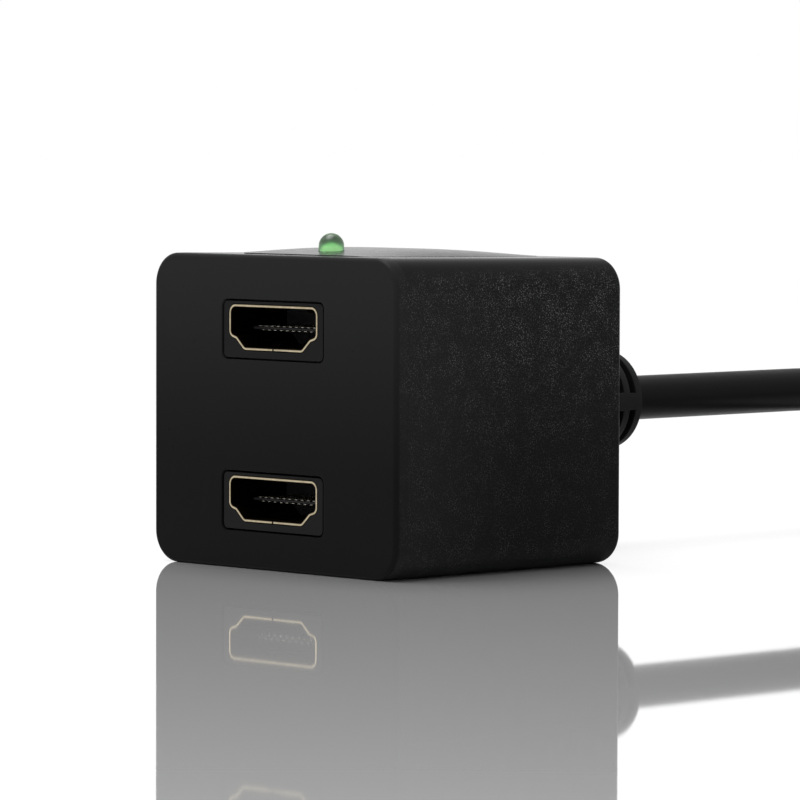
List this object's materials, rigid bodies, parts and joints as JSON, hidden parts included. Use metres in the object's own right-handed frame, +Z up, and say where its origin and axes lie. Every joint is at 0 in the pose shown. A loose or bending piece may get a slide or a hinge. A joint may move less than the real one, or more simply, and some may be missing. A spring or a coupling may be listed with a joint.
{
  "type": "hdmi splitter cable",
  "caption": "Small square splitter box with stacked sockets in its front, a status light on top and a captive round cable that ends in a matching plug.",
  "frame": {"origin": "centre of the box's footprint, on the surface that it stands on", "axes": "+Z up, -Y out of the socket face, +Y along the cable where it leaves, +X across the sockets"},
  "size_m": [0.0922, 0.1485, 0.0381],
  "materials": {
    "shell_black": "fine grained moulded plastic",
    "panel_black": "smooth satin moulded plastic",
    "label_black": "smooth blank film",
    "insert_black": "glossy moulded plastic",
    "gold_plate": "thin gold plating, satin",
    "tongue_black": "moulded insulator",
    "contact_gold": "gold flash",
    "led_green": "translucent tinted epoxy",
    "tinned_wire": "tin plated",
    "board_green": "solder mask on laminate",
    "chip_black": "moulded epoxy",
    "can_metal": "drawn can",
    "passive_tan": "fired ceramic",
    "wire_sheath": "soft insulation",
    "jacket_black": "satin soft PVC",
    "relief_black": "matte soft PVC",
    "grip_black": "overmoulded soft plastic",
    "tie_black": "soft strap",
    "nickel": "nickel plating"
  },
  "bodies": {
    "root": {"front_panel": "panel_black", "upper_shell": "shell_black", "lower_shell": "shell_black", "top_label": "label_black", "port_insert_upper": "insert_black", "port_insert_lower": "insert_black", "socket_shell_upper": "gold_plate", "socket_shell_lower": "gold_plate", "socket_tongue_upper": "tongue_black", "socket_tongue_lower": "tongue_black", "socket_contacts_upper": "contact_gold", "socket_contacts_lower": "contact_gold", "status_led": "led_green", "led_leads": "tinned_wire", "main_board": "board_green", "splitter_chip": "chip_black", "chip_pins": "tinned_wire", "crystal": "can_metal", "voltage_regulator": "chip_black", "capacitor_can": "can_metal", "board_passives": "passive_tan", "cable_wires": "wire_sheath", "cable_crimp_ring": "nickel", "cable_jacket_stub": "jacket_black", "strain_relief": "relief_black", "cable_lead": "jacket_black", "cable_coil": "jacket_black", "cable_tail": "jacket_black", "coil_tie": "tie_black", "plug_relief": "relief_black", "plug_grip": "grip_black", "plug_shell": "gold_plate", "plug_insulator": "tongue_black", "plug_contacts": "contact_gold"}
  },
  "joints": []
}
